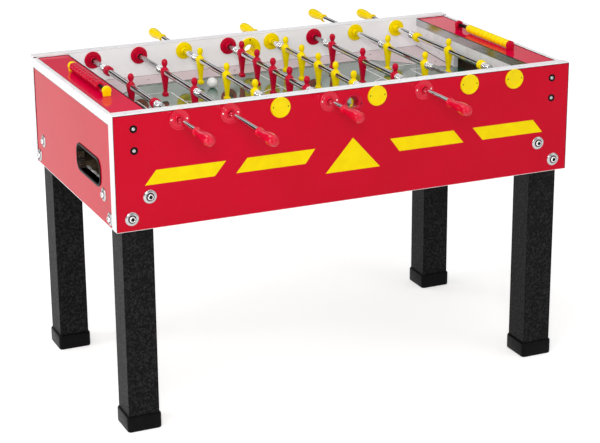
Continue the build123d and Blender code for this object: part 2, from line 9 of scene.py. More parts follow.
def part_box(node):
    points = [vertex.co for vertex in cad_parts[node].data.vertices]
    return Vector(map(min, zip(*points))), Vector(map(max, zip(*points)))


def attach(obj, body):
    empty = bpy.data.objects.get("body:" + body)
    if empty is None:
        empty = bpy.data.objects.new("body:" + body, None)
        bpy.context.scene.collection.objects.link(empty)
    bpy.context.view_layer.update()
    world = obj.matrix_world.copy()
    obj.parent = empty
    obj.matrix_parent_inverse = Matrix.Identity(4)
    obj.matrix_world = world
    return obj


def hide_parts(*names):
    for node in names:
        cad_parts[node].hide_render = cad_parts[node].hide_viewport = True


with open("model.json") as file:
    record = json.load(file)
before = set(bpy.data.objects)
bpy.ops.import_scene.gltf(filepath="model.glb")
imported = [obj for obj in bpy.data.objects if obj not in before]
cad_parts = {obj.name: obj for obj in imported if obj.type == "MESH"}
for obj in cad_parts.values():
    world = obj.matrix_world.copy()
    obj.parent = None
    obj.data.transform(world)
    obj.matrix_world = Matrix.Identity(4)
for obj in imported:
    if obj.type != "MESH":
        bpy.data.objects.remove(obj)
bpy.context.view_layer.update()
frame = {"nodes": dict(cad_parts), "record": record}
nodes = frame["nodes"]

# The frame: metres, +Z up, X along the field, Y along the rods, red handles at -Y.
MM = 0.001
X, Y, Z = Vector((1, 0, 0)), Vector((0, 1, 0)), Vector((0, 0, 1))
CORNERS = [(1, 1), (-1, 1), (-1, -1), (1, -1)]
SIDES = {"red": -1, "yellow": 1}
LINE_UPS = {
    "goalkeeper": [0],
    "defence": [-126, 126],
    "attack": [-220, 0, 220],
    "midfield": [-248, -124, 0, 124, 248],
}
RODS = [f"{team}_{line}" for team in SIDES for line in LINE_UPS]


def middle(node):
    low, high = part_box(node)
    return (low + high) / 2


WALL_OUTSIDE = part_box("back_panel")[1].y
BOARD = 36 * MM
GOAL_WALL = 17 * MM
WALL_INSIDE = WALL_OUTSIDE - BOARD
WALL_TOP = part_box("back_panel")[1].z
PANEL_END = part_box("right_end_panel")[1].x
CABINET_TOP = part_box("white_edgings")[1].z
CABINET_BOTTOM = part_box("front_panel")[0].z
SHELF_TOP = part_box("end_shelves")[1].z
FIELD_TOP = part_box("playfield")[1].z
RAMP_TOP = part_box("side_ramps")[1].z
HALF_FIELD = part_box("side_ramps")[1].x
RAMP_WIDTH = 44 * MM
CORNER_LEG = 254 * MM
ROD_HEIGHT = middle("red_goalkeeper_inner_rod").z
CUP_HEIGHT = middle("red_ball_cup").z
ROUND = 32


def srgb(red, green, blue):
    """Linear colour of an sRGB colour whose channels run from 0 to 255."""

    def linear(channel):
        share = channel / 255
        return share / 12.92 if share <= 0.04045 else ((share + 0.055) / 1.055) ** 2.4

    return linear(red), linear(green), linear(blue), 1.0


def join(tree, source, socket):
    """Links an output to a socket, or sets a plain value on it."""
    if isinstance(source, bpy.types.NodeSocket):
        tree.links.new(source, socket)
    else:
        socket.default_value = source


# Finishes


class Finish:
    """A Principled material whose colour, roughness and relief come from nodes in the object's own coordinates."""

    def __init__(self, name, **constants):
        self.material = bpy.data.materials.new(name)
        self.material.use_nodes = True
        self.tree = self.material.node_tree
        self.shader = self.tree.nodes["Principled BSDF"]
        self.place = self.tree.nodes.new("ShaderNodeTexCoord").outputs["Object"]
        for socket, value in constants.items():
            self.shader.inputs[socket.replace("_", " ")].default_value = value

    def feed(self, socket, source):
        join(self.tree, source, socket)

    def compute(self, operation, first, second=0.0):
        node = self.tree.nodes.new("ShaderNodeMath")
        node.operation = operation
        self.feed(node.inputs[0], first)
        self.feed(node.inputs[1], second)
        return node.outputs[0]

    def axis(self, letter):
        """One coordinate of the surface point, without its sign."""
        node = self.tree.nodes.new("ShaderNodeSeparateXYZ")
        self.tree.links.new(self.place, node.inputs[0])
        return self.compute("ABSOLUTE", node.outputs[letter])

    def stretched(self, factors):
        node = self.tree.nodes.new("ShaderNodeMapping")
        self.tree.links.new(self.place, node.inputs["Vector"])
        node.inputs["Scale"].default_value = factors
        return node.outputs["Vector"]

    def noise(self, size, detail=3.0, stretch=(1, 1, 1)):
        """Cloudy pattern with features of about this size."""
        node = self.tree.nodes.new("ShaderNodeTexNoise")
        self.tree.links.new(self.stretched(stretch), node.inputs["Vector"])
        node.inputs["Scale"].default_value = 1 / size
        node.inputs["Detail"].default_value = detail
        return node.outputs["Fac"]

    def cells(self, size):
        """Distance pattern of scattered cells of about this size."""
        node = self.tree.nodes.new("ShaderNodeTexVoronoi")
        self.tree.links.new(self.place, node.inputs["Vector"])
        node.inputs["Scale"].default_value = 1 / size
        return node.outputs["Distance"]

    def spread(self, source, low, high, start=0.3, end=0.7):
        node = self.tree.nodes.new("ShaderNodeMapRange")
        self.feed(node.inputs["Value"], source)
        node.inputs["From Min"].default_value = start
        node.inputs["From Max"].default_value = end
        node.inputs["To Min"].default_value = low
        node.inputs["To Max"].default_value = high
        return node.outputs["Result"]

    def mix(self, factor, first, second):
        node = self.tree.nodes.new("ShaderNodeMix")
        node.data_type = "RGBA"
        self.feed(node.inputs["Factor"], factor)
        self.feed(node.inputs[6], first)
        self.feed(node.inputs[7], second)
        return node.outputs[2]

    def colour(self, source):
        self.feed(self.shader.inputs["Base Color"], source)

    def roughness(self, source):
        self.feed(self.shader.inputs["Roughness"], source)

    def relief(self, height, depth):
        node = self.tree.nodes.new("ShaderNodeBump")
        node.inputs["Distance"].default_value = depth
        self.feed(node.inputs["Height"], height)
        self.tree.links.new(node.outputs["Normal"], self.shader.inputs["Normal"])


RED_LAMINATE = srgb(196, 0, 33), srgb(204, 0, 39)
# The shelf tops take a lighter, pinker copy of the cabinet's red: a painted sheen for the light their gloss reflects.
RED_SHELF_SHEEN = srgb(213, 0, 56), srgb(221, 2, 62)
LAMINATE_IOR = 1.19


def mottled(name, dark, light, patch, gloss, grain, depth, **constants):
    """A finish whose colour drifts between two near tones, with uneven gloss and a fine grain."""
    finish = Finish(name, **constants)
    finish.colour(finish.mix(finish.spread(finish.noise(patch), 0, 1), dark, light))
    finish.roughness(finish.spread(finish.noise(patch / 3), *gloss))
    finish.relief(finish.noise(grain, 4), depth)
    return finish.material


def cabinet_board():
    """Glossy red laminate on the outside of the cabinet, white laminate round the field, raw board elsewhere."""
    finish = Finish("cabinet_board", IOR=LAMINATE_IOR)
    patch = finish.spread(finish.noise(0.22), 0, 1)
    red = finish.mix(patch, *RED_LAMINATE)
    white = finish.mix(patch, srgb(243, 240, 242), srgb(249, 247, 248))
    raw = finish.mix(finish.spread(finish.cells(0.004), 0, 1), srgb(112, 94, 80), srgb(150, 130, 110))
    skin = 0.8 * MM
    outside = finish.compute("MAXIMUM",
                             finish.compute("GREATER_THAN", finish.axis("Y"), WALL_OUTSIDE - skin),
                             finish.compute("GREATER_THAN", finish.axis("X"), PANEL_END - skin))
    over_field = finish.compute("MULTIPLY",
                                finish.compute("LESS_THAN", finish.axis("X"), HALF_FIELD + GOAL_WALL),
                                finish.compute("GREATER_THAN", finish.axis("Z"), FIELD_TOP - 1 * MM))
    over_shelf = finish.compute("GREATER_THAN", finish.axis("Z"), SHELF_TOP - 1 * MM)
    round_field = finish.compute("MAXIMUM", over_field, over_shelf)
    finish.colour(finish.mix(outside, finish.mix(round_field, raw, white), red))
    finish.roughness(finish.spread(finish.noise(0.05), 0.1, 0.17))
    finish.relief(finish.noise(0.006, 2), 0.012 * MM)
    return finish.material


def wrinkle_paint():
    """Black paint with a coarse wrinkle whose raised grains are painted lighter: a painted highlight on the crests.
    """
    finish = Finish("wrinkle_paint", IOR=1.18)
    grains = finish.compute("ADD", finish.noise(0.0075, 2), finish.noise(0.0028, 2))
    # The wrinkle's highest grains get a lighter colour: painted glints where light would catch the crests.
    crest_glints = finish.spread(grains, 0, 1, 0.94, 1.22)
    finish.colour(finish.mix(crest_glints, srgb(6, 6, 7), srgb(40, 39, 40)))
    finish.roughness(finish.spread(finish.noise(0.004), 0.38, 0.6))
    finish.relief(grains, 0.45 * MM)
    return finish.material


def brushed(name, dark, light, gloss, along):
    """Metal drawn or brushed in one direction."""
    finish = Finish(name, Metallic=1.0)
    lines = finish.noise(0.0012, 3, along)
    finish.colour(finish.mix(finish.spread(lines, 0, 1), dark, light))
    finish.roughness(finish.spread(lines, *gloss))
    finish.relief(lines, 0.004 * MM)
    return finish.material


def chipboard():
    """Pressed board of wood flakes."""
    finish = Finish("chipboard", IOR=1.4)
    flakes = finish.spread(finish.cells(0.0035), 0, 1, 0.1, 0.7)
    finish.colour(finish.mix(flakes, srgb(108, 88, 68), srgb(160, 137, 108)))
    finish.roughness(finish.spread(finish.noise(0.01), 0.7, 0.9))
    finish.relief(finish.noise(0.002), 0.15 * MM)
    return finish.material


def plastic(name, dark, light, gloss=(0.16, 0.3), **constants):
    """Moulded plastic: even colour, slight flow marks and a faint orange peel."""
    return mottled(name, dark, light, 0.03, gloss, 0.0024, 0.02 * MM, **constants)


def grey(level):
    return level, level, level * 1.01, 1.0


FINISHES = {
    "red_laminate": cabinet_board(),
    "white_laminate": mottled("white_laminate", srgb(229, 226, 229), srgb(240, 238, 240),
                              0.15, (0.22, 0.34), 0.0012, 0.01 * MM, IOR=1.35),
    "white_edging": mottled("white_edging", srgb(234, 232, 234), srgb(242, 240, 242),
                            0.06, (0.25, 0.4), 0.001, 0.02 * MM, IOR=1.4),
    "field_laminate": mottled("field_laminate", srgb(42, 88, 68), srgb(50, 97, 76), 0.25, (0.02, 0.05),
                              0.004, 0.003 * MM, IOR=1.5, Coat_Weight=0.75, Coat_Roughness=0.03),
    "ramp_laminate": mottled("ramp_laminate", srgb(208, 190, 194), srgb(217, 200, 203),
                             0.12, (0.12, 0.2), 0.002, 0.008 * MM, IOR=1.4),
    "raw_board": chipboard(),
    "ball_plastic": plastic("ball_plastic", srgb(236, 235, 232), srgb(248, 247, 245), (0.3, 0.42)),
    "black_paint": wrinkle_paint(),
    "black_plastic": plastic("black_plastic", srgb(5, 5, 6), srgb(11, 10, 12), (0.3, 0.45), IOR=1.17),
    "chrome": brushed("chrome", grey(0.78), grey(0.88), (0.02, 0.05), (1, 0.02, 1)),
    "steel": brushed("steel", grey(0.42), grey(0.56), (0.2, 0.32), (1, 0.05, 1)),
    "aluminium": brushed("aluminium", grey(0.46), grey(0.6), (0.14, 0.24), (1, 0.01, 1)),
    "red_plastic": plastic("red_plastic", srgb(184, 2, 40), srgb(198, 6, 48), IOR=1.25),
    "yellow_plastic": plastic("yellow_plastic", srgb(243, 212, 0), srgb(249, 221, 0), IOR=1.18),
    "red_grip": plastic("red_grip", srgb(208, 6, 44), srgb(220, 12, 52), (0.05, 0.1), IOR=1.4),
    "yellow_grip": plastic("yellow_grip", srgb(240, 210, 0), srgb(246, 218, 0), (0.08, 0.16), IOR=1.22),
}
# The shelves' laminate is the cabinet's red lightened into a painted sheen.
SHELF_SHEEN_FINISH = mottled("shelf_laminate_sheen", *RED_SHELF_SHEEN, 0.22, (0.04, 0.08), 0.006, 0.006 * MM, IOR=LAMINATE_IOR)


def soften(node, width, segments):
    """Rounds the edges of a CAD node's solids."""
    weld = nodes[node].modifiers.new("weld", "WELD")
    weld.merge_threshold = 0.02 * MM
    bevel = nodes[node].modifiers.new("bevel", "BEVEL")
    bevel.width = width
    bevel.segments = segments
    bevel.limit_method = "ANGLE"


for subpart in frame["record"]["subparts"]:
    for slot in nodes[subpart["node"]].material_slots:
        slot.material = FINISHES[subpart["material_slot"]]
for slot in nodes["end_shelves"].material_slots:
    slot.material = SHELF_SHEEN_FINISH
soften("legs", 4 * MM, 3)
soften("white_edgings", 0.9 * MM, 2)

# Forms


class Form:
    """Rings, blocks, slabs and bars gathered into one mesh."""

    def __init__(self):
        self.mesh = bmesh.new()

    def skin(self, rings, closed=False):
        """Faces between rings of equally many points; a ring of one point is a pole. Closed joins last to first."""
        loops = [[self.mesh.verts.new(point) for point in ring] for ring in rings]
        pairs = list(zip(loops, loops[1:]))
        if closed:
            pairs.append((loops[-1], loops[0]))
        for lower, upper in pairs:
            for i in range(max(len(lower), len(upper))):
                j = i + 1
                corners = [lower[i % len(lower)], lower[j % len(lower)], upper[j % len(upper)], upper[i % len(upper)]]
                self.mesh.faces.new(dict.fromkeys(corners))
        if not closed:
            for end in (loops[0], loops[-1]):
                if len(end) > 2:
                    self.mesh.faces.new(end)

    def turn(self, origin, axis, profile, closed=False, count=ROUND):
        """Turns (distance along the axis, radius) pairs, in millimetres; a third value scales the radius by angle."""
        across = axis.orthogonal().normalized()
        beside = axis.cross(across)
        rings = []
        for distance, radius, *outline in profile:
            centre = Vector(origin) + axis * distance * MM
            if radius == 0:
                rings.append([centre])
                continue
            ring = []
            for i in range(count):
                angle = 2 * math.pi * i / count
                reach = radius * MM * (outline[0](angle) if outline else 1)
                ring.append(centre + (across * math.cos(angle) + beside * math.sin(angle)) * reach)
            rings.append(ring)
        self.skin(rings, closed)

    def block(self, low, high, edge, segments=2):
        """A box between two corners, with rounded edges."""
        low, high = Vector(low), Vector(high)
        size = Matrix.Diagonal((*(high - low), 1))
        made = bmesh.ops.create_cube(self.mesh, size=1, matrix=Matrix.Translation((low + high) / 2) @ size)
        edges = {e for v in made["verts"] for e in v.link_edges}
        bmesh.ops.bevel(self.mesh, geom=list(edges), offset=edge, segments=segments, profile=0.5, affect="EDGES")

    def slab(self, outline, depth):
        """A flat outline given thickness along a vector."""
        self.skin([[Vector(point) for point in outline], [Vector(point) + depth for point in outline]])

    def bar(self, first, second, half, up=Z):
        """A thin straight bar of square section between two points."""
        first, second = Vector(first), Vector(second)
        along = (second - first).normalized()
        beside = along.cross(up).normalized() * half
        rise = beside.cross(along)
        self.skin([[end + beside * a + rise * b for a, b in CORNERS] for end in (first, second)])

    def piece(self, name, slot, body="cabinet", replaces=(), sharp=38):
        """Makes the object: it rides on a body, takes a slot's finish and stands for the named CAD nodes."""
        bmesh.ops.recalc_face_normals(self.mesh, faces=self.mesh.faces)
        mesh = bpy.data.meshes.new(name)
        self.mesh.to_mesh(mesh)
        self.mesh.free()
        mesh.polygons.foreach_set("use_smooth", [True] * len(mesh.polygons))
        mesh.set_sharp_from_angle(angle=math.radians(sharp))
        mesh.materials.append(FINISHES[slot])
        made = bpy.data.objects.new(name, mesh)
        bpy.context.scene.collection.objects.link(made)
        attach(made, body)
        if replaces:
            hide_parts(*replaces)


def smooth_line(points, steps):
    """Pairs on a smooth curve through the given pairs."""
    padded = [points[0], *points, points[-1]]
    line = []
    for before, start, end, after in zip(padded, padded[1:], padded[2:], padded[3:]):
        for i in range(steps):
            t = i / steps
            line.append(tuple(
                0.5 * (2 * b + (c - a) * t + (2 * a - 5 * b + 4 * c - d) * t**2 + (3 * b - a - 3 * c + d) * t**3)
                for a, b, c, d in zip(before, start, end, after)
            ))
    return [*line, points[-1]]


def rounded_outline(half_width, half_height, radius, steps=6):
    """Points round a rectangle with rounded corners, about its middle."""
    points = []
    for corner, (across, up) in enumerate(CORNERS):
        for i in range(steps + 1):
            angle = math.pi / 2 * (corner + i / steps)
            points.append((across * (half_width - radius) + radius * math.cos(angle),
                           up * (half_height - radius) + radius * math.sin(angle)))
    return points


def cross(angle):
    """Share of the radius that a cross-shaped screw recess reaches at an angle."""
    arm = 0.3
    narrow = min(abs(math.sin(angle)), abs(math.cos(angle)))
    return 1.0 if narrow <= arm else arm / narrow


def hexagon(angle):
    """Share of the radius that a hexagon reaches at an angle."""
    sector = math.pi / 3
    return math.cos(sector / 2) / math.cos(angle % sector - sector / 2)


def screw(form, place, axis, radius, height):
    """A domed screw head with a cross recess, standing on a surface."""
    form.turn(place, axis, [
        (0, radius), (height * 0.4, radius), (height * 0.8, radius * 0.84), (height, radius * 0.64),
        (height, radius * 0.54, cross), (height * 0.3, radius * 0.44, cross), (height * 0.3, 0),
    ], count=24)


# Rods: chromed tubes, round-wire springs, players and handles

TUBE_RADIUS, TUBE_BORE = 8.8, 6.8
TUBE_SETBACK = 2.4
SPRING_TURNS = 5.5
SPRING_LENGTH = 36 * MM
WIRE_RADIUS = 1.25 * MM
SPRING_RADIUS = 10.7 * MM

# Height over the rod, half depth, half width, squareness and depth of the groove between the legs
FIGURE = [
    (-75.6, 7.0, 8.2, 4.5, 0.00), (-74.9, 8.4, 9.6, 4.5, 0.00), (-73.4, 8.9, 10.2, 4.5, 0.00),
    (-68.0, 9.0, 10.6, 4.5, 0.00), (-66.1, 8.7, 10.2, 4.0, 0.00), (-64.5, 7.4, 9.0, 3.2, 0.04),
    (-62.9, 6.3, 7.8, 2.6, 0.10), (-60.5, 6.0, 7.2, 2.4, 0.16), (-54.0, 6.4, 7.9, 2.4, 0.20),
    (-45.0, 7.3, 9.5, 2.4, 0.20), (-36.0, 8.3, 10.8, 2.4, 0.16), (-27.0, 9.4, 11.6, 2.5, 0.08),
    (-21.0, 10.2, 11.9, 2.5, 0.02), (-16.0, 10.8, 12.2, 2.6, 0.00), (-12.0, 11.6, 13.0, 2.8, 0.00),
    (-8.0, 12.1, 13.7, 2.9, 0.00), (-1.0, 12.2, 13.8, 2.9, 0.00), (4.0, 11.8, 13.6, 2.7, 0.00),
    (7.5, 10.8, 12.8, 2.5, 0.00), (10.0, 9.3, 11.3, 2.3, 0.00), (12.2, 7.6, 9.0, 2.1, 0.00),
    (14.2, 6.2, 6.8, 2.0, 0.00), (15.8, 5.6, 5.8, 2.0, 0.00), (17.4, 5.7, 5.7, 2.0, 0.00),
    (19.0, 6.7, 6.6, 2.0, 0.00), (21.4, 8.1, 7.9, 2.0, 0.00), (24.4, 9.0, 8.7, 2.0, 0.00),
    (28.0, 9.3, 9.0, 2.0, 0.00), (31.5, 8.9, 8.6, 2.0, 0.00), (34.7, 7.7, 7.5, 2.0, 0.00),
    (37.3, 5.8, 5.7, 2.0, 0.00), (38.8, 3.5, 3.5, 2.0, 0.00), (39.5, 0.0, 0.0, 2.0, 0.00),
]
FIGURE_COUNT = 28
FIGURE_BOSS = [(-13.8, 9), (-13.8, 10.2), (-13.0, 10.9), (13.0, 10.9), (13.8, 10.2), (13.8, 9)]
STOP_COLLAR = [(0, 9), (0, 12.2), (1.4, 14.2), (3.2, 15), (8.2, 15), (9.4, 13.6), (12.6, 13.6), (13.8, 15),
               (18.8, 15), (20.6, 14.2), (22, 12.2), (22, 9)]
STOP_PLACES = (-221, 199)

# Distance from the mouth and radius: flared collar, waist, bulb, rounded end and its cap
GRIP_START, GRIP_BORE = 14.6, 9
HANDLE_GRIP = [(GRIP_START, 12.2), (16.8, 13.2), (20.4, 12.7), (24, 11.5), (28.5, 10.6), (36, 10.7), (45, 11.6),
               (59, 13.2), (73, 14.8), (87, 15.9), (98, 16.2), (107, 16.0), (113.6, 15.2), (118.6, 13.8), (122, 12.0),
               (124.6, 9.9)]
HANDLE_CAP = [(124.4, 8.9), (125.0, 8.5), (126.6, 7.6), (127.6, 5.6), (128, 0)]


def spring(form, start, axis):
    """A round-wire compression spring with closed end turns, wound about a tube from a point along an axis."""
    across = axis.orthogonal().normalized()
    beside = axis.cross(across)
    steps, around = 22, 8
    end_turn = WIRE_RADIUS * 2.1
    free = SPRING_LENGTH - 2 * WIRE_RADIUS - 2 * end_turn
    rings = []
    for i in range(int(SPRING_TURNS * steps) + 1):
        turn = i / steps
        angle = 2 * math.pi * turn
        inner = min(max((turn - 1) / (SPRING_TURNS - 2), 0), 1)
        rise = WIRE_RADIUS + end_turn * (min(turn, 1) + max(turn - SPRING_TURNS + 1, 0)) + free * inner
        outward = across * math.cos(angle) + beside * math.sin(angle)
        centre = start + outward * SPRING_RADIUS + axis * rise
        rings.append([
            centre + (outward * math.cos(a) + axis * math.sin(a)) * WIRE_RADIUS
            for a in (2 * math.pi * k / around for k in range(around))
        ])
    form.skin(rings)


def player(form, x, y):
    """One moulded figure on its rod, facing along X."""
    rings = []
    for height, depth, width, square, groove in FIGURE:
        if depth == 0:
            rings.append([Vector((x, y, ROD_HEIGHT + height * MM))])
            continue
        ring = []
        for i in range(FIGURE_COUNT):
            angle = 2 * math.pi * i / FIGURE_COUNT
            cosine, sine = math.cos(angle), math.sin(angle)
            out = math.copysign(abs(cosine) ** (2 / square), cosine) * depth
            out *= 1 - groove * math.exp(-((sine / 0.3) ** 2))
            side = math.copysign(abs(sine) ** (2 / square), sine) * width
            ring.append(Vector((x + out * MM, y + side * MM, ROD_HEIGHT + height * MM)))
        rings.append(ring)
    form.skin(rings)
    form.turn((x, y, ROD_HEIGHT), Y, FIGURE_BOSS)


for rod in RODS:
    team, line = rod.split("_")
    side = SIDES[team]
    x = middle(f"{rod}_inner_rod").x
    blind_end, handle_end = sorted((corner.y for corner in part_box(f"{rod}_rod")), key=lambda y: y * side)
    reach = abs(handle_end - blind_end) / MM
    outward = Y * side

    tube = Form()
    tube.turn((x, blind_end, ROD_HEIGHT), outward, [
        (TUBE_SETBACK, TUBE_BORE), (TUBE_SETBACK, TUBE_RADIUS - 0.6), (TUBE_SETBACK + 0.6, TUBE_RADIUS),
        (reach - 0.6, TUBE_RADIUS), (reach, TUBE_RADIUS - 0.6), (reach, TUBE_BORE),
    ], closed=True)
    tube.piece(f"{rod}_tube", "chrome", rod, [f"{rod}_rod"])

    springs = Form()
    for way in (1, -1):
        base = abs(blind_end) - SPRING_LENGTH
        spring(springs, Vector((x, way * base, ROD_HEIGHT)), Y * way)
    springs.piece(f"{rod}_springs", "chrome", rod, [f"{rod}_rod"], sharp=80)

    figures = Form()
    for y in LINE_UPS[line]:
        player(figures, x, y * MM)
    if line == "goalkeeper":
        for y in STOP_PLACES:
            figures.turn((x, y * MM, ROD_HEIGHT), Y, STOP_COLLAR)
    figures.piece(f"{rod}_figures", f"{team}_plastic", rod, [f"{rod}_players"], sharp=50)

    mouth = min((corner.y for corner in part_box(f"{rod}_handle")), key=abs)
    grip = Form()
    grip_line = [(GRIP_START, GRIP_BORE), *smooth_line(HANDLE_GRIP, 3), *HANDLE_CAP]
    grip.turn((x, mouth, ROD_HEIGHT), outward, grip_line)
    grip.piece(f"{rod}_grip", f"{team}_grip", rod, [f"{rod}_handle"])

# Rod bearings, inner discs, covers and ball cups

BEARING = [(0, 29.5), (2.4, 29.5), (3.4, 29.0), (4.0, 27.9), (4.0, 26.4), (3.3, 25.4), (3.1, 15.2), (3.6, 14.2),
           (8.6, 13.2), (9.8, 12.6), (10.2, 11.6), (9.8, 10.8), (6.6, 9.6), (6.0, 8.85), (0, 8.85)]
INNER_DISC = [(0, 27), (2.4, 27), (3.5, 26.4), (4.0, 25.2), (4.0, 14.2), (2.8, 13.6), (2.6, 12.4), (3.2, 11.9),
              (17.2, 11.7), (18.0, 11.0), (18.0, 9.4), (0, 9.4)]
COVER = [(0, 29.5), (4.2, 29.5), (5.4, 29.0), (6.0, 27.8), (6.0, 26.6), (5.5, 25.8), (5.6, 14), (5.7, 0)]
SCREW_REACH = 22.5 * MM
SCREW_RISE = 2 * MM

for team, side in SIDES.items():
    bearings, discs, bearing_screws, cover_screws = Form(), Form(), Form(), Form()
    for line in LINE_UPS:
        x = middle(f"{team}_{line}_inner_rod").x
        for way in (1, -1):
            discs.turn((x, way * WALL_INSIDE, ROD_HEIGHT), Y * -way, INNER_DISC, closed=True)
        bearings.turn((x, side * WALL_OUTSIDE, ROD_HEIGHT), Y * side, BEARING, closed=True)
        bearings.turn((x, -side * WALL_OUTSIDE, ROD_HEIGHT), Y * -side, COVER)
        for offset in (-SCREW_REACH, SCREW_REACH):
            spot = Vector((x + offset, 0, ROD_HEIGHT + SCREW_RISE))
            screw(bearing_screws, spot + Y * side * (WALL_OUTSIDE + 3.2 * MM), Y * side, 2.5, 1.6)
            screw(cover_screws, spot - Y * side * (WALL_OUTSIDE + 5.5 * MM), Y * -side, 1.9, 0.5)
    bearings.piece(f"{team}_bearings", f"{team}_grip", replaces=[f"{team}_rod_fittings"])
    discs.piece(f"{team}_discs", f"{team}_plastic", replaces=[f"{team}_rod_fittings"])
    bearing_screws.piece(f"{team}_bearing_screws", "chrome")
    cover_screws.piece(f"{team}_cover_screws", "black_plastic")

# Distance from the wall's outer face, radius and rise: outer ring, bore that slopes inward, inner collar
BALL_CUP = [(0, 31, 0), (2.2, 31, 0), (3.4, 30.4, 0), (4.0, 29.2, 0), (4.0, 27.4, 0), (3.2, 25.6, 0.8),
            (2.2, 22.2, 2.4), (0.6, 19.2, 3.8), (-2.4, 17.2, 4.4), (-33.6, 17.2, -4.4), (-37, 18.6, -3.6),
            (-39.2, 22.6, -2), (-40, 26.5, 0), (-40, 34.6, 0), (-39.3, 36.2, 0), (-38, 37, 0), (-36, 37, 0),
            (-36, 21.9, 0), (0, 21.9, 0)]
CUP_COUNT = 48

for team, side in SIDES.items():
    cup, cup_screws = Form(), Form()
    rings = []
    for distance, radius, rise in BALL_CUP:
        angles = [2 * math.pi * i / CUP_COUNT for i in range(CUP_COUNT)]
        rings.append([Vector((radius * MM * math.cos(angle), side * (WALL_OUTSIDE + distance * MM),
                              CUP_HEIGHT + (rise + radius * math.sin(angle)) * MM)) for angle in angles])
    cup.skin(rings, closed=True)
    cup.piece(f"{team}_cup", f"{team}_plastic", replaces=[f"{team}_ball_cup"])
    for offset in (-25 * MM, 25 * MM):
        screw(cup_screws, (offset, side * (WALL_OUTSIDE + 3 * MM), CUP_HEIGHT), Y * side, 2.2, 1.2)
    for offset in (-30 * MM, 30 * MM):
        screw(cup_screws, (0, side * (WALL_INSIDE - 4 * MM), CUP_HEIGHT + offset), Y * -side, 2.6, 1.2)
    cup_screws.piece(f"{team}_cup_screws", "black_plastic")

# Score counters

BRACKET_KNOB = [(0, 5), (0, 11.8), (1.0, 12.9), (2.6, 13.5), (8.4, 13.5), (10.4, 12.7), (11.6, 11.0), (12.2, 8.0),
                (12.4, 0)]
BRACKET_INNER, BRACKET_OUTER = 156.5 * MM, 168.5 * MM
BRACKET_HALF = 11 * MM
BEAD = [(0, 5.4), (0, 7.4), (0.6, 9.0), (2.2, 10.7), (4.6, 12.0), (8.0, 12.9), (12.75, 13.2), (17.5, 12.9),
        (20.9, 12.0), (23.3, 10.7), (24.9, 9.0), (25.5, 7.4), (25.5, 5.4)]
BEAD_STEP = 25.7 * MM
BEADS = 10
shaft_low, shaft_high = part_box("counter_shafts")
COUNTER_Z = (shaft_low.z + shaft_high.z) / 2
COUNTER_X = shaft_high.x - (shaft_high.z - shaft_low.z) / 2

for team, end in (("yellow", -1), ("red", 1)):
    brackets = Form()
    x = end * COUNTER_X
    for way in (1, -1):
        brackets.turn((x, way * BRACKET_INNER, COUNTER_Z), Y * way, BRACKET_KNOB)
        near, far = sorted((way * BRACKET_INNER, way * BRACKET_OUTER))
        brackets.block((x - BRACKET_HALF, near, SHELF_TOP), (x + BRACKET_HALF, far, COUNTER_Z - 3.5 * MM), 1.6 * MM)
    brackets.piece(f"{team}_brackets", f"{team}_plastic", replaces=[f"{team}_counter_brackets"])

for team in SIDES:
    node = f"{team}_score_beads"
    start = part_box(node)[0].y
    beads = Form()
    for i in range(BEADS):
        beads.turn((middle(node).x, start + i * BEAD_STEP, COUNTER_Z), Y, BEAD, closed=True)
    beads.piece(f"{team}_beads", f"{team}_plastic", node, [node])

# Balls, with a faint moulding seam

BALL_RADIUS = 16.5
WINDOW_BALL_X, WINDOW_BALL_Z = -676.45, 678.1
BALLS = [(-198, 191, FIELD_TOP / MM + BALL_RADIUS), *((WINDOW_BALL_X, y, WINDOW_BALL_Z) for y in (-121, -71, -20))]
BALL_STEPS = 20
balls = Form()
for ball_x, ball_y, ball_z in BALLS:
    arc = [(-BALL_RADIUS, 0)]
    for i in range(1, BALL_STEPS):
        angle = math.pi * i / BALL_STEPS
        seam = 0.12 if 2 * i == BALL_STEPS else 0
        arc.append((-BALL_RADIUS * math.cos(angle), BALL_RADIUS * math.sin(angle) - seam))
    arc.append((BALL_RADIUS, 0))
    tilt = Vector((0.3, 0.2 + ball_y / 400, 1)).normalized()
    balls.turn((ball_x * MM, ball_y * MM, ball_z * MM), tilt, arc)
balls.piece("play_balls", "ball_plastic", replaces=["balls"], sharp=60)

# Ball window, boots, bolts and screws

frame_low, frame_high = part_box("ball_window_frame")
WINDOW_MIDDLE = (frame_low + frame_high) / 2
SLEEVE_DEPTH = (frame_high.x + PANEL_END) / MM
LIP_RADIUS = 32
# Depth of a ring behind the panel's face, and how far it lies inside the lip's edge
FRAME_RINGS = [(0, 0), (-1.8, 0), (-2.7, 0.6), (-3, 1.6), (-3, 4.6), (-2.6, 6.2), (-1.4, 7.0), (SLEEVE_DEPTH, 7.0),
               (SLEEVE_DEPTH, 4.4), (0, 4.4)]
window = Form()
rings = []
for depth, inset in FRAME_RINGS:
    half_width = (frame_high.y - frame_low.y) / 2 - inset * MM
    half_height = (frame_high.z - frame_low.z) / 2 - inset * MM
    outline = rounded_outline(half_width, half_height, (LIP_RADIUS - inset) * MM)
    rings.append([Vector((-PANEL_END + depth * MM, WINDOW_MIDDLE.y + across, WINDOW_MIDDLE.z + up))
                  for across, up in outline])
window.skin(rings, closed=True)
window.piece("window_frame", "black_plastic", replaces=["ball_window_frame"])

BOOT_RINGS = [(0, 4.5), (0.6, 2.2), (2.4, 0.7), (6, 0), (42, 0), (45.6, 0.7), (47.4, 2.4), (48, 5)]
BOOT_HALF, BOOT_CORNER = 51.2, 10
boot_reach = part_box("leg_boots")[1]
boots = Form()
for across, along in CORNERS:
    leg_x = across * (boot_reach.x - BOOT_HALF * MM)
    leg_y = along * (boot_reach.y - BOOT_HALF * MM)
    rings = []
    for height, inset in BOOT_RINGS:
        half = (BOOT_HALF - inset) * MM
        rings.append([Vector((leg_x + u, leg_y + v, height * MM))
                      for u, v in rounded_outline(half, half, (BOOT_CORNER - inset / 2) * MM)])
    boots.skin(rings)
boots.piece("boots", "black_plastic", replaces=["leg_boots"])

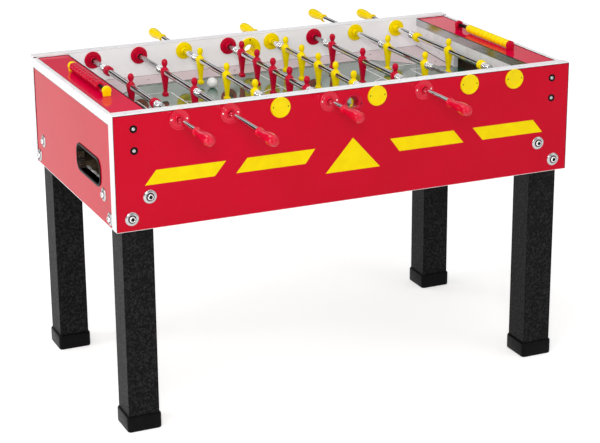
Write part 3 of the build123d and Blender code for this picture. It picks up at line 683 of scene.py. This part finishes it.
CUP_WASHER = [(0, 19.5), (0.7, 19.5), (1.3, 19.0), (2.2, 17.2), (3.1, 14.6), (3.5, 13.2), (3.3, 12.2), (2.4, 11.0),
              (2.0, 8.2), (0, 8.2)]
BOLT_HEAD = [(2.2, 9), (5.0, 9), (6.4, 8.6), (7.5, 7.6), (8.0, 6.6), (8.0, 6.2, hexagon), (4.6, 5.8, hexagon),
             (4.6, 0)]
# Painted shade: a thin black disc at the bottom of each bolt's hex socket and a black ring in the washer's hollow
# round the head stand in for the shadow in these recesses.
BOLT_SOCKET_SHADE = [(4.7, 5.7, hexagon), (5.0, 5.6, hexagon), (4.9, 0)]
BOLT_RING_SHADE = [(2.5, 9.1), (2.5, 12.1), (3.1, 11.9), (3.2, 10.4), (3.1, 9.1)]
CABINET_END = 715 * MM
LONG_FACE_BOLTS = [(100, 92), (46, 35)]
END_FACE_BOLTS = [(106, 81), (57, 24)]
bolt_spots = []
for way in (1, -1):
    for corner in (1, -1):
        for inward, up in LONG_FACE_BOLTS:
            spot = (corner * (CABINET_END - inward * MM), way * WALL_OUTSIDE, CABINET_BOTTOM + up * MM)
            bolt_spots.append((spot, Y * way))
        for inward, up in END_FACE_BOLTS:
            spot = (way * PANEL_END, corner * (WALL_OUTSIDE - inward * MM), CABINET_BOTTOM + up * MM)
            bolt_spots.append((spot, X * way))
# The black discs and rings in the bolts' recesses are painted shade.
washers, bolts, bolt_shade = Form(), Form(), Form()
for spot, axis in bolt_spots:
    washers.turn(spot, axis, CUP_WASHER, closed=True, count=48)
    bolts.turn(spot, axis, BOLT_HEAD, count=36)
    bolt_shade.turn(spot, axis, BOLT_SOCKET_SHADE, count=36)
    bolt_shade.turn(spot, axis, BOLT_RING_SHADE, closed=True, count=48)
washers.piece("washers", "steel", replaces=["cup_washers"])
bolts.piece("bolts", "chrome", replaces=["leg_bolts"])
bolt_shade.piece("bolt_shade_discs", "black_plastic")

CORNER_WASHER = [(0, 11), (1.0, 11), (2.0, 10.2), (2.4, 8.8), (1.8, 7.0), (0.6, 5.6), (0, 5.4)]
CORNER_SCREW_X = 656 * MM
CORNER_SCREW_DROPS = (42.5 * MM, 103.5 * MM)
corner_washers, corner_screws = Form(), Form()
for corner, way in CORNERS:
    for drop in CORNER_SCREW_DROPS:
        spot = (corner * CORNER_SCREW_X, way * WALL_OUTSIDE, CABINET_TOP - drop)
        corner_washers.turn(spot, Y * way, CORNER_WASHER, closed=True)
        screw(corner_screws, spot, Y * way, 5.2, 2.2)
corner_washers.piece("corner_washers", "black_plastic")
corner_screws.piece("corner_screws", "steel")

# Printed and laid lines: stripes on the long sides, markings on the field, and dark lines of painted shade in the
# joints and creases

SKIN = 0.25 * MM
STRIPE_LOW, STRIPE_HIGH = CABINET_BOTTOM + 125.5 * MM, CABINET_BOTTOM + 166 * MM
STRIPE_BARS = [(628, 424, 390, 595), (360, 149, 119, 326)]
WEDGE_LOW, WEDGE_HIGH = CABINET_BOTTOM + 88 * MM, CABINET_BOTTOM + 184 * MM
WEDGE_HALF = 86 * MM
stripes = Form()
for way in (1, -1):
    lift = Y * way * SKIN
    face = way * WALL_OUTSIDE
    for mirror in (MM, -MM):
        for low_out, low_in, high_in, high_out in STRIPE_BARS:
            stripes.slab([(mirror * low_out, face, STRIPE_LOW), (mirror * low_in, face, STRIPE_LOW),
                          (mirror * high_in, face, STRIPE_HIGH), (mirror * high_out, face, STRIPE_HIGH)], lift)
    stripes.slab([(-WEDGE_HALF, face, WEDGE_LOW), (WEDGE_HALF, face, WEDGE_LOW), (0, face, WEDGE_HIGH)], lift)
stripes.piece("side_stripes", "yellow_plastic")

LINE_HALF = 2 * MM
CIRCLE_RADIUS = 105
RAMP_FOOT = (WALL_INSIDE - RAMP_WIDTH) / MM
FIELD_END = HALF_FIELD / MM
# Sum of both coordinates along the foot of a corner ramp
CORNER_FOOT = (HALF_FIELD + WALL_INSIDE - CORNER_LEG) / MM
GOAL_AREAS = [(270, 200), (140, 139)]
ARC_CENTRE, ARC_RADIUS = 355, 78


def field_line(form, first, second, half=LINE_HALF):
    """A straight painted line between two points of the field, in millimetres."""
    a, b = Vector((*first, 0)) * MM, Vector((*second, 0)) * MM
    along = (b - a).normalized() * half
    beside = Vector((-along.y, along.x, 0))
    base = Z * FIELD_TOP
    form.slab([a - along - beside + base, b + along - beside + base, b + along + beside + base,
               a - along + beside + base], Z * SKIN)


def field_arc(form, centre, radius, start, end, steps=24):
    """A painted arc about a point on the field's long axis, between two angles."""
    inside, outside = [], []
    for i in range(steps + 1):
        angle = start + (end - start) * i / steps
        for edge, reach in ((inside, radius * MM - LINE_HALF), (outside, radius * MM + LINE_HALF)):
            edge.append(Vector((centre * MM + reach * math.cos(angle), reach * math.sin(angle), FIELD_TOP)))
    lift = Z * SKIN
    form.skin([[a, b, b + lift, a + lift] for a, b in zip(inside, outside)])


markings = Form()
field_line(markings, (0, 4 - RAMP_FOOT), (0, RAMP_FOOT - 4))
for end in (1, -1):
    for depth, half in GOAL_AREAS:
        front = FIELD_END - depth
        for way in (1, -1):
            field_line(markings, (end * (CORNER_FOOT - half - 4), way * half), (end * front, way * half))
        field_line(markings, (end * front, -half), (end * front, half))
    opening = math.acos((ARC_CENTRE - FIELD_END + GOAL_AREAS[0][0]) / ARC_RADIUS)
    toward = math.pi if end > 0 else 0
    field_arc(markings, end * ARC_CENTRE, ARC_RADIUS, toward - opening, toward + opening)
markings.turn((0, 0, FIELD_TOP), Z, [(0, CIRCLE_RADIUS - 2), (0, CIRCLE_RADIUS + 2), (0.25, CIRCLE_RADIUS + 2),
                                     (0.25, CIRCLE_RADIUS - 2)], closed=True, count=96)
markings.turn((0, 0, FIELD_TOP), Z, [(0, 6), (0.25, 6), (0.25, 0)])
markings.piece("field_lines", "white_edging")

SHADE_LINE_HALF = 1.2 * MM
# Half widths of the painted shade lines at the foot of the ramps, in millimetres
FOOT_HALF, CORNER_FOOT_HALF = 1.5, 1.2
STRIP_INSIDE = 364 * MM
TRIM_BOTTOM = 907 * MM
TRIM_INSIDE = 701 * MM
bend = CORNER_FOOT - RAMP_FOOT
# Thin black strips along the joints of the boards and trims and at the feet and tops of the ramps are painted shade,
# standing in for the shadow in these gaps and creases.
painted_shade_lines = Form()
for way in (1, -1):
    foot = way * (RAMP_FOOT - FOOT_HALF)
    inside, outside, strip = way * WALL_INSIDE, way * WALL_OUTSIDE, way * STRIP_INSIDE
    field_line(painted_shade_lines, (-bend, foot), (bend, foot), FOOT_HALF * MM)
    painted_shade_lines.bar((-HALF_FIELD, inside, RAMP_TOP), (HALF_FIELD, inside, RAMP_TOP), SHADE_LINE_HALF / 3)
    painted_shade_lines.bar((-PANEL_END, outside, WALL_TOP), (PANEL_END, outside, WALL_TOP), SHADE_LINE_HALF / 2)
    for end in (1, -1):
        panel, field = end * PANEL_END, end * HALF_FIELD
        corner_foot = way * (CORNER_FOOT - FIELD_END - 1)
        field_line(painted_shade_lines, (end * (bend - 1), foot), (end * (FIELD_END - 2), corner_foot), CORNER_FOOT_HALF * MM)
        painted_shade_lines.bar((field, inside, RAMP_TOP), (field, way * (WALL_INSIDE - CORNER_LEG), FIELD_TOP), SHADE_LINE_HALF)
        painted_shade_lines.bar((panel, outside, CABINET_BOTTOM), (panel, outside, WALL_TOP), SHADE_LINE_HALF / 2, Y)
        painted_shade_lines.bar((panel, strip, CABINET_BOTTOM), (panel, strip, TRIM_BOTTOM), SHADE_LINE_HALF, Y)
        painted_shade_lines.bar((field, strip, SHELF_TOP), (end * TRIM_INSIDE, strip, SHELF_TOP), SHADE_LINE_HALF)
for end in (1, -1):
    for x, z in ((PANEL_END, TRIM_BOTTOM), (TRIM_INSIDE, SHELF_TOP), (HALF_FIELD, SHELF_TOP)):
        painted_shade_lines.bar((end * x, -STRIP_INSIDE, z), (end * x, STRIP_INSIDE, z), SHADE_LINE_HALF)
painted_shade_lines.piece("painted_shade_lines", "black_plastic")

# Pale trim: fillets that close the gap over the shelves' ends, and the boards' bright lower edges

FILLET_DEPTH, FILLET_EDGE = 3 * MM, 0.4 * MM
END_EDGE_HALF, LONG_EDGE_HALF = 0.8 * MM, 0.5 * MM
trims = Form()
for end, way in CORNERS:
    near, far = sorted((end * HALF_FIELD, end * TRIM_INSIDE))
    low, high = sorted((way * STRIP_INSIDE, way * (STRIP_INSIDE + FILLET_DEPTH)))
    trims.block((near, low, SHELF_TOP), (far, high, WALL_TOP), FILLET_EDGE)
for side in (1, -1):
    panel, outside = side * PANEL_END, side * WALL_OUTSIDE
    trims.bar((panel, -STRIP_INSIDE, CABINET_BOTTOM), (panel, STRIP_INSIDE, CABINET_BOTTOM), END_EDGE_HALF)
    trims.bar((-PANEL_END, outside, CABINET_BOTTOM), (PANEL_END, outside, CABINET_BOTTOM), LONG_EDGE_HALF)
trims.piece("pale_trims", "white_edging")

# Screws of the ramps: along the middle of each slope, and two on every corner

RAMP_SCREW_PLACES = (-353, -62, 62, 353)
CORNER_RAMP_SCREWS = [(578, 182), (421, 345)]
RAMP_SCREW = [(-1.5, 2.6), (0.2, 2.6), (0.5, 2.1), (0.5, 1.5, cross), (-0.3, 1.3, cross), (-0.3, 0)]


def ramp_height(x, y):
    """Height of the ramps' upper face over the field, in metres."""
    inward = WALL_INSIDE - abs(y)
    slope = 1 - inward / RAMP_WIDTH
    corner = 1 - (inward + HALF_FIELD - abs(x)) / CORNER_LEG
    return (RAMP_TOP - FIELD_TOP) * max(slope, corner, 0)


ramp_screws = Form()
screw_places = [(x, RAMP_FOOT + 1000 * RAMP_WIDTH / 2) for x in RAMP_SCREW_PLACES]
screw_places += [(end * x, y) for x, y in CORNER_RAMP_SCREWS for end in (1, -1)]
for x, y in screw_places:
    for way in (MM, -MM):
        ramp_screws.turn((x * MM, y * way, FIELD_TOP + ramp_height(x * MM, y * MM)), Z, RAMP_SCREW, count=24)
ramp_screws.piece("ramp_screws", "black_plastic")

# Floor, light and camera

FLOOR_REACH = 40.0
FLOOR_GLOW = [(1.3, 0.5), (4.5, 0.74)]
AMBIENT = 0.46

floor_mesh = bpy.data.meshes.new("floor")
floor_mesh.from_pydata([(a * FLOOR_REACH, b * FLOOR_REACH, 0) for a, b in CORNERS], [], [(0, 1, 2, 3)])
floor = bpy.data.objects.new("floor", floor_mesh)
bpy.context.scene.collection.objects.link(floor)


def choose(tree, factor, first, second):
    """First where the factor is 0, second where it is 1."""
    node = tree.nodes.new("ShaderNodeMix")
    join(tree, factor, node.inputs[0])
    join(tree, first, node.inputs[2])
    join(tree, second, node.inputs[3])
    return node.outputs[0]


def either(tree, first, second):
    node = tree.nodes.new("ShaderNodeMath")
    node.operation = "MAXIMUM"
    tree.links.new(first, node.inputs[0])
    tree.links.new(second, node.inputs[1])
    return node.outputs[0]


def spread(tree, source, ends):
    """Levels between two (place, level) pairs, and level beyond them."""
    node = tree.nodes.new("ShaderNodeMapRange")
    tree.links.new(source, node.inputs["Value"])
    for name, place, level in zip(("Min", "Max"), *zip(*ends)):
        node.inputs[f"From {name}"].default_value = place
        node.inputs[f"To {name}"].default_value = level
    return node.outputs["Result"]


def paths(tree):
    """Whether a ray comes from the camera, and whether it is mirrored or passes through."""
    rays = tree.nodes.new("ShaderNodeLightPath").outputs
    return rays["Is Camera Ray"], either(tree, rays["Is Glossy Ray"], rays["Is Transmission Ray"])


floor_finish = bpy.data.materials.new("studio_floor")
floor_finish.use_nodes = True
tree = floor_finish.node_tree
tree.nodes.clear()
matt = tree.nodes.new("ShaderNodeBsdfDiffuse")
matt.inputs["Color"].default_value = (0.8, 0.8, 0.8, 1)
glow = tree.nodes.new("ShaderNodeEmission")
distance = tree.nodes.new("ShaderNodeVectorMath")
distance.operation = "LENGTH"
tree.links.new(tree.nodes.new("ShaderNodeTexCoord").outputs["Object"], distance.inputs[0])
shine = spread(tree, distance.outputs["Value"], FLOOR_GLOW)
tree.links.new(choose(tree, either(tree, *paths(tree)), 0.0, shine), glow.inputs["Strength"])
both = tree.nodes.new("ShaderNodeAddShader")
tree.links.new(matt.outputs[0], both.inputs[0])
tree.links.new(glow.outputs[0], both.inputs[1])
tree.links.new(both.outputs[0], tree.nodes.new("ShaderNodeOutputMaterial").inputs["Surface"])
floor_mesh.materials.append(floor_finish)

# What mirrors see: white at the horizon, then a dark studio with a strip light straight behind and a pale band to the
# right, and a bright ceiling. The sky goes by height, the studio by the way across.
SKY = [(0.0, 1.0), (0.03, 1.0), (0.07, 0.0), (0.58, 0.0), (0.64, 0.6), (1.0, 0.6)]
STUDIO = [(-1.0, 0.03), (-0.11, 0.03), (-0.08, 0.95), (0.08, 0.95), (0.11, 0.03), (0.2, 0.03), (0.26, 0.3),
          (0.31, 0.25), (0.46, 0.92), (0.52, 0.38), (1.0, 0.38)]

world = bpy.data.worlds.new("studio")
world.use_nodes = True
bpy.context.scene.world = world
tree = world.node_tree
direction = tree.nodes.new("ShaderNodeSeparateXYZ")
tree.links.new(tree.nodes.new("ShaderNodeTexCoord").outputs["Generated"], direction.inputs[0])


def levels(source, pairs):
    """Grey levels that follow (place, level) pairs with places from -1 to 1."""
    ramp = tree.nodes.new("ShaderNodeValToRGB")
    tree.links.new(spread(tree, source, [(-1, 0), (1, 1)]), ramp.inputs["Fac"])
    stops = ramp.color_ramp.elements
    while len(stops) < len(pairs):
        stops.new(0.5)
    for stop, (place, level) in zip(stops, pairs):
        stop.position = (place + 1) / 2
        stop.color = (level, level, level, 1)
    return ramp.outputs["Color"]


seen, mirrored = paths(tree)
background = tree.nodes["Background"]
background.inputs["Color"].default_value = (1, 1, 1, 1)
studio = choose(tree, levels(direction.outputs["Z"], SKY), levels(direction.outputs["X"], STUDIO), 1.0)
level = choose(tree, seen, choose(tree, mirrored, AMBIENT, studio), 1.0)
tree.links.new(level, background.inputs["Strength"])


def softbox(name, place, aim, size, power):
    """A square area lamp that faces a point."""
    lamp = bpy.data.lights.new(name, "AREA")
    lamp.size = size
    lamp.energy = power
    made = bpy.data.objects.new(name, lamp)
    made.location = place
    made.rotation_euler = (Vector(aim) - Vector(place)).to_track_quat("-Z", "Y").to_euler()
    bpy.context.scene.collection.objects.link(made)


# Name, place, aim, size and power
LAMPS = [
    ("key", (-2.4, -2.6, 3.4), (0, 0, 0.8), 1.6, 34),
    ("fill", (2.8, -3.0, 2.2), (0, 0, 0.7), 2.0, 14),
    ("front", (-2.2, -5.0, 2.6), (0, 0, 0.8), 1.2, 84),
    ("top", (0.2, -0.9, 3.4), (0, 0.1, 0.8), 2.0, 18),
    ("left", (-3.8, 0.4, 1.9), (-0.7, 0, 0.75), 1.8, 46),
    ("back", (-1.5, 2.8, 3.8), (0, 0, 0.8), 1.8, 22),
]
for lamp in LAMPS:
    softbox(*lamp)

CAMERA_PLACE = Vector((-2.113, -4.7808, 2.1897))
CAMERA_AZIMUTH, CAMERA_ELEVATION, CAMERA_ROLL = -23.955, 17.755, -0.394
CAMERA_LENS = 106.43
CAMERA_SHIFT = -0.05

azimuth, elevation, roll = (math.radians(v) for v in (CAMERA_AZIMUTH, CAMERA_ELEVATION, CAMERA_ROLL))
level_reach = math.cos(elevation)
back = Vector((math.sin(azimuth) * level_reach, -math.cos(azimuth) * level_reach, math.sin(elevation)))
right = Z.cross(back).normalized()
up = back.cross(right)
rolled_right = right * math.cos(roll) + up * math.sin(roll)
rolled_up = up * math.cos(roll) - right * math.sin(roll)
camera = bpy.data.objects.new("camera", bpy.data.cameras.new("camera"))
camera.data.sensor_width = 36
camera.data.lens = CAMERA_LENS
camera.data.shift_y = CAMERA_SHIFT
camera.data.clip_end = 200
camera_turn = Matrix((rolled_right, rolled_up, back)).transposed().to_4x4()
camera.matrix_world = Matrix.Translation(CAMERA_PLACE) @ camera_turn
bpy.context.scene.collection.objects.link(camera)
bpy.context.scene.camera = camera
bpy.context.scene.view_settings.view_transform = "Standard"
